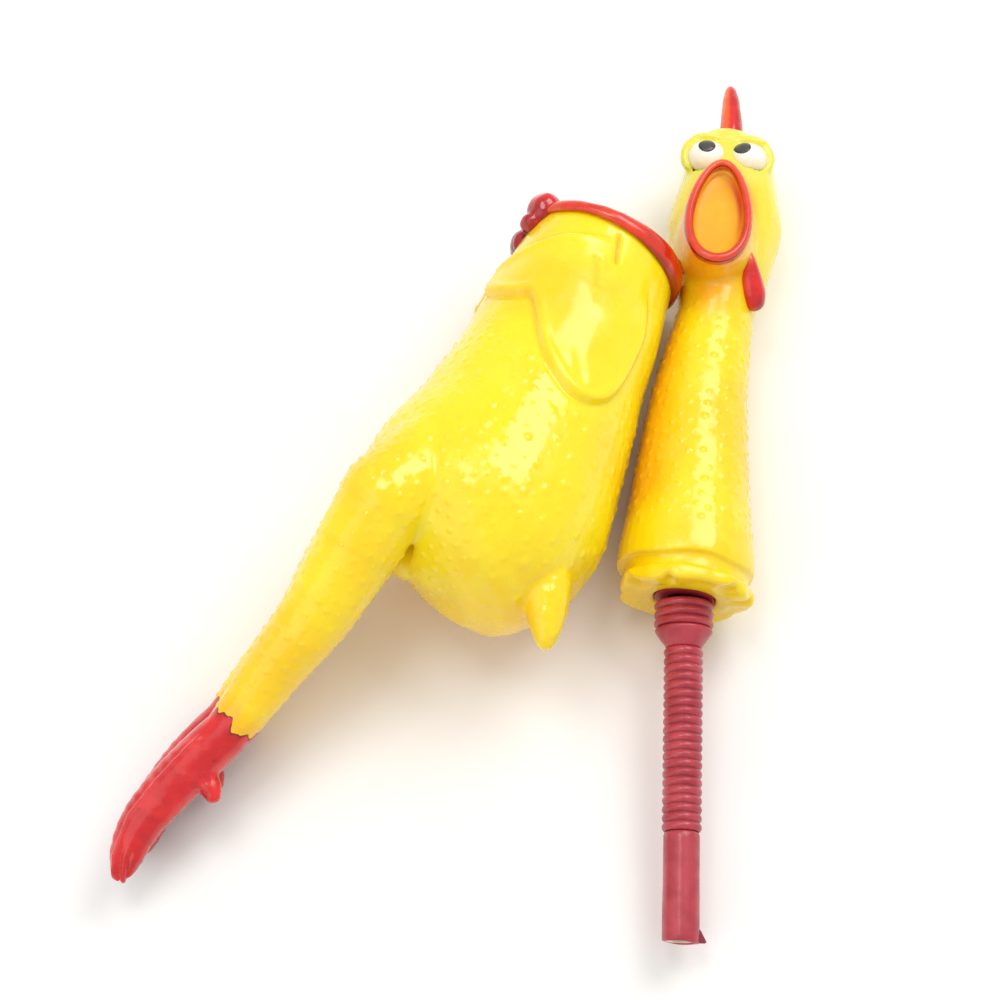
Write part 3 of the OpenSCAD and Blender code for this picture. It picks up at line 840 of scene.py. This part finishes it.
def beak_lips():
    """Rounded lips round the egg-shaped mouth, thicker at the chin, with a dark line on both edges."""
    n, m = 128, 28
    verts, mark, warm = [], [], []
    for j in range(n):
        a = 2 * math.pi * j / n
        low = 0.5 - 0.5 * math.sin(a)
        half = 1.45 + 0.4 * low ** 3
        e = egg(a, BEAK_H - 1.2, BEAK_W - 1.2)
        f = egg(a, BEAK_H - 0.2, BEAK_W - 0.2)
        d = (f - e) / np.linalg.norm(f - e)
        e = e + d * 2.0 * low ** 3
        for i in range(m):
            b = 2 * math.pi * i / m
            r = half * math.cos(b) * (1.0 if math.cos(b) > 0 else 0.9)
            z = (1.9 + 0.5 * low ** 2) * math.sin(b) - 0.4
            verts.append([BEAK[0] + e[0] + r * d[0], BEAK[1] + e[1] + r * d[1], BEAK[2] + z])
            mark.append(max(0, 1 - abs(b - 0.42) / 0.24, 1 - abs(b - (math.pi - 0.5)) / 0.22) * 0.95)
            warm.append(0.55 * max(0, math.sin(a)) + 0.25 * (math.cos(b) > 0) + 0.12)
    f = [(j * m + i, ((j + 1) % n) * m + i, ((j + 1) % n) * m + (i + 1) % m, j * m + (i + 1) % m)
         for j in range(n) for i in range(m)]
    o = object_from("beak_lips", NECK.out(tilt(verts)), f)
    add_marks(o, dark=mark, warm=warm)
    return o


def add_marks(o, **marks):
    for key, values in marks.items():
        a = o.data.attributes.new(key, "FLOAT", "POINT")
        a.data.foreach_set("value", np.asarray(values, np.float32))


def lips_look():
    k = Look("beak_paint", 0.2, coat=0.45, glow=0.15, glow_size=(3, 1, 0.3))
    c = k.mix(k.step(k.noise(5), 0.35, 0.7), lin(222, 42, 22), lin(196, 16, 18))
    c = k.mix(k.mark("warm"), c, lin(240, 92, 40))
    c = k.mix(k.step(k.mark("dark"), 0.15, 0.7), c, lin(82, 14, 16))
    k.colour(c).gloss(0.14, 0.3, 5)
    return k.bump(0.5, (k.noise(1.5, 3), 0.05), (k.noise(0.4, 2), 0.012)).m


def mouth_piece():
    """The amber bowl: a thin shell from the lips down into the beak."""
    n = 96
    # how deep each ring lies, and how far inside the beak's outline
    keys = [(-0.4, 1.2), (-1.4, 1.4), (-2.4, 1.7), (-3.2, 2.2), (-3.6, 2.9), (-3.8, 3.8), (-3.9, 5.0),
            (-3.95, 6.4), (-4.0, 7.8), (-4.0, 9.19)]
    verts, warm = [], []
    for grow in (0.0, 0.8):
        for z, inset in keys:
            for j in range(n):
                a = 2 * math.pi * j / n
                low = 0.5 - 0.5 * math.sin(a)
                tall = BEAK_H - inset * 1.3
                if inset >= 2:
                    tall = (BEAK_H - 2.6) * (BEAK_W - inset) / (BEAK_W - 2)
                e = egg(a, tall + grow, BEAK_W - inset + grow)
                verts.append([BEAK[0] + e[0], BEAK[1] + e[1] - 1.4 * low ** 3 * (inset < 4),
                              BEAK[2] + z - grow * 0.8 * (z < -1)])
                # painted red shade inside the bowl: on its right wall, and near the rim at the left and the bottom
                right = max(0, math.cos(a - 0.35)) ** 3 * (2.1 < inset < 3.2)
                left = max(0, math.cos(a - math.pi - 0.5)) ** 4 * (inset < 2)
                bottom = max(0, math.cos(a + math.pi / 2)) ** 6 * (inset < 2)
                warm.append(min(1, 0.95 * right + 0.4 * left + 0.5 * bottom))
    rows = len(keys)
    inner = [tuple(reversed(q)) for q in grid_faces(rows, n)]
    outer = [tuple(i + rows * n for i in q) for q in grid_faces(rows, n)]
    rim = [(j, (j + 1) % n, rows * n + (j + 1) % n, rows * n + j) for j in range(n)]
    last = (rows - 1) * n
    caps = [tuple(last + j for j in range(n)), tuple(rows * n + last + j for j in reversed(range(n)))]
    o = object_from("mouth_bowl", NECK.out(tilt(verts)), inner + outer + rim + caps)
    add_marks(o, dark=warm)
    return o


lips = beak_lips()
dress(lips, lips_look())
bowl = mouth_piece()
# the bowl's red dark tone is its painted shade
dress(bowl, plain("amber_paint", lin(254, 176, 0), lin(254, 186, 4), 0.42, 7, 0.03, coat=0.05, glow=0.3,
                  dark=lin(226, 66, 10)))
for o, node, slot in ((lips, "beak_rim", "beak_red"), (bowl, "mouth_lining", "mouth_amber")):
    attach(o, "neck")
    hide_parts(node)


def eye_piece(side):
    x, y, z = EYES[side]
    v, f = ball([x, y, z], EYE_R, 40, 64)
    p = np.array(v)
    q = (p - [x, y, z]) / EYE_R
    # painted shade on the eye white where it sinks into the head and on its side towards the beak
    eye_shade = smoothstep(0.1, 0.8, -q[:, 1] * 0.6 + (1 - q[:, 2])) * 0.4
    o = object_from(side + "_eyeball", NECK.out(v), f)
    add_marks(o, dark=eye_shade)
    return o


def pupil_piece(side):
    """A painted oval that lies on the eyeball, tipped a little."""
    x, y, z = EYES[side]
    cx, cy = (3.75, 143.4) if side == "left" else (-6.9, 142.6)
    lean = math.radians(20 if side == "left" else 35)
    n, rows = 48, 9
    verts, mark = [], []
    for lift in (0.14, -0.35):
        for i in range(rows):
            for j in range(n):
                a, r = 2 * math.pi * j / n, (i + 0.02) / (rows - 1)
                u, w = 2.6 * r * math.cos(a), 2.55 * r * math.sin(a)
                px = cx + u * math.cos(lean) - w * math.sin(lean)
                py = cy + u * math.sin(lean) + w * math.cos(lean)
                s = 1 - ((px - x) / EYE_R[0]) ** 2 - ((py - y) / EYE_R[1]) ** 2
                pz = z + EYE_R[2] * math.sqrt(max(s, 0.02)) + lift * (1 - r ** 6 * (lift > 0))
                verts.append([px, py, pz])
                mark.append(smoothstep(0.72, 0.98, r) if lift > 0 else 1)
    top = grid_faces(rows, n)
    bottom = [tuple(i + rows * n for i in reversed(q)) for q in grid_faces(rows, n)]
    last = (rows - 1) * n
    under = rows * n + last
    rim = [(under + (j + 1) % n, under + j, last + j, last + (j + 1) % n) for j in range(n)]
    o = object_from(side + "_pupil_paint", NECK.out(verts), top + bottom + rim)
    add_marks(o, dark=mark)
    return o


# the cream dark tone is the eye white's painted shade
eye_look = plain("eye_white", lin(250, 246, 234), lin(240, 236, 222), 0.25, 4, 0.02, coat=0.3, glow=0.15,
                 dark=lin(248, 226, 160))
pupil_look = plain("pupil_paint", lin(70, 70, 66), lin(52, 52, 50), 0.3, 1.5, 0.02, coat=0.3,
                   dark=lin(16, 16, 16))
for side in ("left", "right"):
    e, q = eye_piece(side), pupil_piece(side)
    dress(e, eye_look)
    dress(q, pupil_look)
    for o, node, slot in ((e, side + "_eye", "eye_white"), (q, side + "_pupil", "pupil_black")):
        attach(o, "neck")
        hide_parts(node)


def comb_piece():
    """A soft fin: an upright front edge with a rounded tip, and two lower waves behind it."""
    front = chain([[0.3, 148, 1.4, 3.6], [0.2, 154, 0.8, 3.6], [-0.1, 160, -0.2, 3.2],
                   [-0.6, 165.3, -1.4, 2.7], [-0.9, 168.6, -2.4, 2.2], [-1.1, 170.4, -3.0, 1.6]], 8)
    back = [chain([[0.3, 150, -3, 2.6], [0, 160, -6.5, 2.2], [-0.2, 164, -8.2, 1.6]], 8),
            chain([[0.3, 147, -8, 2.4], [0, 155, -11.5, 2.0], [-0.1, 158, -13, 1.5]], 8),
            chain([[0.3, 148, 0, 2.6], [0.3, 147, -8, 2.4], [0.3, 143, -13, 2.0]], 10),
            chain([[0.1, 156, -1, 2.4], [0.1, 154.5, -7, 2.1], [0.1, 150, -11.5, 1.8]], 10)]
    s = Skin(*join(front, *back), COMB_GRAIN)
    s.relax(6)
    s.push(0.15 * ripple(s.v, 5, 1.0))
    x = s.v[:, 0] + 0.1 + 0.06 * np.maximum(s.v[:, 1] - 155, 0)
    n = s.normals()
    warm = 0.6 * smoothstep(0.0, -1.2, x) * smoothstep(-3.4, -2.2, x) * smoothstep(-10, -2, s.v[:, 2])
    # edge: painted shade where the fin's sides turn away from above; dark also grows towards the fin's +x side
    edge = smoothstep(0.45, 0.12, n[:, 2]) * smoothstep(149, 152, s.v[:, 1])
    dark = np.clip(0.9 * edge + 0.25 * smoothstep(0.4, 2.0, x), 0, 1)
    s.v = NECK.out(s.v)
    return s.make("comb_fin", warm=warm * (1 - edge), dark=dark)


def wattle_piece(side):
    if side == "left":
        keys = [[8.4, 107.6, 13.2, 0.7], [9.0, 104.5, 11.4, 2.0], [10.0, 100.4, 8.8, 3.2],
                [11.2, 96.4, 6.4, 3.8], [11.8, 94.6, 5.4, 3.3]]
    else:
        keys = [[-8.6, 109, 12.5, 0.7], [-9.6, 106.5, 10.6, 1.3], [-10.4, 103.5, 8.2, 1.8],
                [-10.7, 101.5, 6.8, 1.5]]
    v, f = chain(keys, 6)
    s = Skin(v, f, WATTLE_GRAIN)
    s.relax(5)
    s.push(0.12 * ripple(s.v, 4, 6.0))
    warm = 0.8 * smoothstep(101, 108, s.v[:, 1]) + 0.2 * smoothstep(10, 7, s.v[:, 0])
    # painted shade towards the lower, outer end of the left wattle
    dark = 0.6 * smoothstep(97, 91, s.v[:, 1]) * smoothstep(11, 14, s.v[:, 0])
    s.v = NECK.out(s.v)
    return s.make(side + "_wattle_drop", warm=np.clip(warm, 0, 1), dark=dark)


red_parts = (("comb", comb_piece()), ("left_wattle", wattle_piece("left")),
             ("right_wattle", wattle_piece("right")))
for node, o in red_parts:
    dress(o, red_look)
    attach(o, "neck")
    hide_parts(node)


# ---- squeaker tube ----

WIDE_FROM, WIDE_TO, NARROW_FROM, SLEEVE_FROM, TUBE_END = 0.6, 8.4, 14.2, 66.7, 97.2
WIDE_R, NARROW_R, SLEEVE_R, TUBE_WALL = 8.5, 5.6, 5.1, 0.9
WIDE_RINGS, NARROW_RINGS = 3, 21
WIDE_DEPTH, NARROW_DEPTH = 1.3, 0.8


def revolve(name, profile, sides=72, bend=None):
    """A closed ring turned from a closed profile of (radius, place along the tube)."""
    n = len(profile)
    angles = np.linspace(0, 2 * math.pi, sides, endpoint=False)
    verts = [[r * math.cos(a), r * math.sin(a), z] for a in angles for r, z in profile]
    faces = []
    for j in range(sides):
        here, there = j * n, (j + 1) % sides * n
        faces += [(here + i, here + (i + 1) % n, there + (i + 1) % n, there + i) for i in range(n)]
    verts = np.array(verts)
    if bend:
        verts = bend(verts)
    return object_from(name, TUBE.out(verts), [tuple(reversed(q)) for q in faces])


def ring_profile(start, end, count, crest, depth, wall):
    """Round crests with narrow valleys between them, and a bore that follows."""
    pitch = (end - start) / count
    outer, inner = [], []
    for i in range(count * 12 + 1):
        t = (i % 12) / 12
        bulge = abs(math.sin(math.pi * t)) ** 0.55
        outer.append((crest - depth + depth * bulge, start + i * pitch / 12))
    for i in range(count * 4 + 1):
        t = (i % 4) / 4
        inner.append((crest - depth - wall + 0.4 * depth * math.sin(math.pi * t), end - i * pitch / 4))
    return outer + inner


def paint_valley_shade(o, crest, depth):
    """Paints shade into the narrow valleys between the rings."""
    z = TUBE.into(points_of(o.data))
    r = np.hypot(z[:, 0], z[:, 1])
    add_marks(o, dark=0.75 * smoothstep(crest - depth * 0.45, crest - depth, r))


wide = revolve("wide_bellows_skin",
               ring_profile(WIDE_FROM, WIDE_TO, WIDE_RINGS, WIDE_R, WIDE_DEPTH, TUBE_WALL))
paint_valley_shade(wide, WIDE_R, WIDE_DEPTH)
narrow = revolve("narrow_bellows_skin", ring_profile(NARROW_FROM, SLEEVE_FROM, NARROW_RINGS, NARROW_R,
                                                     NARROW_DEPTH, TUBE_WALL))
paint_valley_shade(narrow, NARROW_R, NARROW_DEPTH)
funnel = revolve("funnel_skin", [
    (WIDE_R - 1.3, WIDE_TO), (WIDE_R - 0.7, WIDE_TO + 0.1), (WIDE_R - 0.35, WIDE_TO + 0.5),
    (WIDE_R - 0.3, WIDE_TO + 0.9), (WIDE_R - 0.7, WIDE_TO + 1.6), (WIDE_R - 2.0, WIDE_TO + 3.4),
    (NARROW_R - 0.2, NARROW_FROM - 0.9), (NARROW_R - 0.45, NARROW_FROM - 0.4),
    (NARROW_R - 0.8, NARROW_FROM), (NARROW_R - 1.6, NARROW_FROM),
    (NARROW_R - 1.4, NARROW_FROM - 1.2), (WIDE_R - 3.0, WIDE_TO + 3.0),
    (WIDE_R - 2.2, WIDE_TO)])
add_marks(funnel, dark=np.zeros(len(funnel.data.vertices)))


def sleeve_shape(v):
    """The sleeve was cut by hand: its end is not quite square, and it swells a little over the reed."""
    a = np.arctan2(v[:, 1], v[:, 0])
    end = smoothstep(TUBE_END - 1.5, TUBE_END, v[:, 2])
    v[:, 2] += end * (0.35 * np.cos(a - 0.6) + 0.12 * np.sin(3 * a))
    k = 1 + 0.02 * smoothstep(TUBE_END - 16, TUBE_END - 12, v[:, 2])
    v[:, 0] *= k
    v[:, 1] *= k
    return v


sleeve_bore = SLEEVE_R - TUBE_WALL + 0.05
sleeve_profile = [(SLEEVE_R - 0.55, SLEEVE_FROM), (SLEEVE_R - 0.2, SLEEVE_FROM + 0.4)]
sleeve_profile += [(SLEEVE_R, z) for z in np.linspace(SLEEVE_FROM + 1.2, TUBE_END - 0.3, 24)]
sleeve_profile += [(SLEEVE_R - 0.2, TUBE_END), (SLEEVE_R - 0.75, TUBE_END)]
sleeve_profile += [(sleeve_bore, z) for z in (TUBE_END - 0.3, TUBE_END - 16, SLEEVE_FROM)]
sleeve = revolve("sleeve_skin", sleeve_profile, bend=sleeve_shape)
add_marks(sleeve, dark=np.zeros(len(sleeve.data.vertices)))
# the little flag that the cut left on the sleeve: outline of (radius, place, half thickness)
tab_outline = [(SLEEVE_R - 0.3, TUBE_END - 4.2, 0.4), (SLEEVE_R + 0.5, TUBE_END - 3.2, 0.4),
               (SLEEVE_R + 2.0, TUBE_END - 0.3, 0.3), (SLEEVE_R + 1.6, TUBE_END + 0.1, 0.3),
               (SLEEVE_R - 0.3, TUBE_END + 0.1, 0.4)]
tab = object_from("sleeve_tab", TUBE.out([[r, y, z] for r, z, half in tab_outline for y in (-half, half)]),
                  [(0, 2, 4, 6, 8), (9, 7, 5, 3, 1), (0, 1, 3, 2), (2, 3, 5, 4), (4, 5, 7, 6),
                   (6, 7, 9, 8), (8, 9, 1, 0)], smooth=False)
add_marks(tab, dark=np.full(len(tab.data.vertices), 0.8))
for o in (wide, narrow, funnel, sleeve, tab):
    dress(o, tube_look)


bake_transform(wide)
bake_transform(narrow)
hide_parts("wide_bellows")
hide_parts("narrow_bellows")
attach(funnel, "tube")
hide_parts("funnel")
for o in (sleeve, tab):
    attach(o, "sleeve")
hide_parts("reed_sleeve")


# ---- CAD nodes that stay, with their own finish ----

pale_look = plain("reed_plastic", lin(236, 226, 210), lin(226, 214, 196), 0.3, 3, 0.02, coat=0.2, glow=0.2)
strip_look = plain("reed_strip", lin(232, 232, 226), lin(216, 216, 210), 0.22, 2, 0.01, coat=0.3)
kept = {"socket_ring": skin_look, "tube_flange": tube_look, "reed_plug": pale_look, "reed_wedge": pale_look,
        "reed_tongue": strip_look}
for name, look in kept.items():
    dress(frame["nodes"][name], look)


# ---- floor, light and camera ----


CAMERA_UP = 68  # degrees above the table
CAMERA_OFF = 0.750  # metres from what it looks at
LENS, SENSOR = 93.1, 36
AIM_X, AIM_Y, AIM_Z = 0.01123, -0.00638, 0.020  # metres from the middle of the part, and above the table
FLOOR_HALF, FLOOR_Z = 3.0 / MM, -0.05


def stage():
    h, z = FLOOR_HALF, FLOOR_Z
    o = object_from("floor", [[-h, -h, z], [h, -h, z], [h, h, z], [-h, h, z]], [(0, 1, 2, 3)])
    k = Look("floor_paper", 0.6, specular=0.2)
    k.colour(k.mix(k.step(k.noise(60), 0.3, 0.7), lin(250, 249, 247), lin(247, 246, 243)))
    dress(o, k.m)


def area(name, at, target, size, watts, colour=(1, 1, 1)):
    d = bpy.data.lights.new(name, "AREA")
    d.shape, d.size, d.energy, d.color = "SQUARE", size, watts, colour
    o = bpy.data.objects.new(name, d)
    bpy.context.collection.objects.link(o)
    o.location = at
    o.rotation_euler = (Vector(target) - Vector(at)).to_track_quat("-Z", "Y").to_euler()


def studio():
    low, high = (np.array(c) for c in cad_box)
    mid = (low + high) / 2
    c = (float(mid[0]), float(mid[1]), AIM_Z)
    area("softbox_right", (0.55, 0.55, 1.0), c, 0.7, 6.6)
    area("softbox_top", (-0.25, 0.25, 1.3), c, 0.5, 3.4)
    area("fill_left", (-0.9, -0.5, 0.9), c, 1.2, 3.2)
    w = bpy.data.worlds.new("studio")
    w.use_nodes = True
    w.node_tree.nodes["Background"].inputs["Color"].default_value = (1, 1, 1, 1)
    w.node_tree.nodes["Background"].inputs["Strength"].default_value = 0.66
    bpy.context.scene.world = w
    bpy.context.scene.view_settings.view_transform = "Standard"
    return mid


def camera(mid):
    """Above the table, a little towards the feet."""
    up = math.radians(CAMERA_UP)
    target = np.array([mid[0] + AIM_X, mid[1] + AIM_Y, AIM_Z])
    at = target - CAMERA_OFF * np.array([0, math.cos(up), -math.sin(up)])
    d = bpy.data.cameras.new("camera")
    d.sensor_width, d.lens = SENSOR, LENS
    o = bpy.data.objects.new("camera", d)
    bpy.context.collection.objects.link(o)
    o.location = at
    o.rotation_euler = (math.radians(90 - CAMERA_UP), 0, 0)
    bpy.context.scene.camera = o


stage()
camera(studio())
